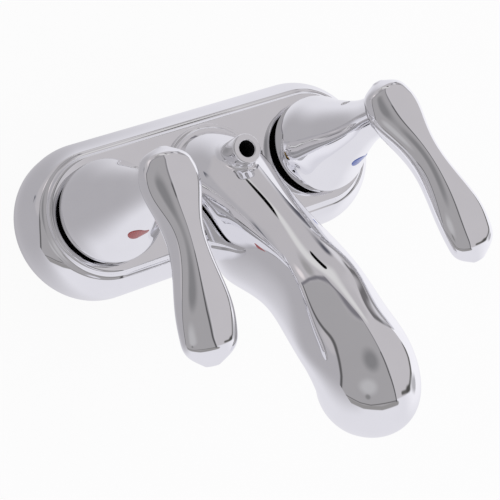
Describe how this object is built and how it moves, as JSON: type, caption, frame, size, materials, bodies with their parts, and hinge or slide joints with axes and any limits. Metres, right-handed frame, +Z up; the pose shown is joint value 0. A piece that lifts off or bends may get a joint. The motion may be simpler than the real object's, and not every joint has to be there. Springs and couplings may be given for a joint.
{
  "type": "two-handle bathroom faucet",
  "caption": "Centreset bathroom faucet with a long oval cover plate, a rounded goose-beak spout, bell hubs with lever handles and colour index marks, and threaded inlet shanks.",
  "frame": {"origin": "on the deck plane, midway between the two valve axes and midway between the plate's long edges", "axes": "+Z up from the deck, -Y forwards along the spout, +X towards the cold handle"},
  "size_m": [0.1658, 0.1484, 0.1461],
  "materials": {
    "chrome": "polished plate",
    "brass": "machined",
    "steel": "plain",
    "rubber_black": "matt",
    "ceramic_white": "lapped",
    "plastic_grey": "moulded",
    "inlay_red": "glossy",
    "inlay_blue": "glossy"
  },
  "bodies": {
    "base": {"cover_plate": "chrome", "base_gasket": "rubber_black", "spout_shell": "chrome", "lift_rod_guide": "chrome", "spout_screws": "steel", "spout_tee": "brass", "spout_tee_o_rings": "rubber_black", "spout_waterway_tube": "brass", "aerator_housing": "chrome", "aerator_insert": "plastic_grey", "aerator_washer": "rubber_black", "hot_valve_body": "brass", "hot_crossover_tube": "brass", "hot_bonnet_nut": "brass", "hot_cartridge_shell": "brass", "hot_fixed_disc": "ceramic_white", "hot_seat_seal": "rubber_black", "hot_cartridge_o_ring": "rubber_black", "hot_mounting_washer": "steel", "hot_mounting_nut": "plastic_grey", "cold_valve_body": "brass", "cold_crossover_tube": "brass", "cold_bonnet_nut": "brass", "cold_cartridge_shell": "brass", "cold_fixed_disc": "ceramic_white", "cold_seat_seal": "rubber_black", "cold_cartridge_o_ring": "rubber_black", "cold_mounting_washer": "steel", "cold_mounting_nut": "plastic_grey"},
    "hot_handle": {"hot_hub": "chrome", "hot_lever": "chrome", "hot_index_mark": "inlay_red", "hot_lever_screw": "steel", "hot_set_screw": "steel", "hot_stem": "brass", "hot_stem_clip": "steel", "hot_stem_o_ring": "rubber_black", "hot_moving_disc": "ceramic_white"},
    "cold_handle": {"cold_hub": "chrome", "cold_lever": "chrome", "cold_index_mark": "inlay_blue", "cold_lever_screw": "steel", "cold_set_screw": "steel", "cold_stem": "brass", "cold_stem_clip": "steel", "cold_stem_o_ring": "rubber_black", "cold_moving_disc": "ceramic_white"}
  },
  "joints": [
    {"name": "hot_handle_turn", "type": "hinge", "parent": "base", "child": "hot_handle", "pos_m": [-0.0508, 0, 0.03], "axis": [0, 0, -1], "range_deg": [0, 90]},
    {"name": "cold_handle_turn", "type": "hinge", "parent": "base", "child": "cold_handle", "pos_m": [0.0508, 0, 0.03], "axis": [0, 0, 1], "range_deg": [0, 90]}
  ]
}
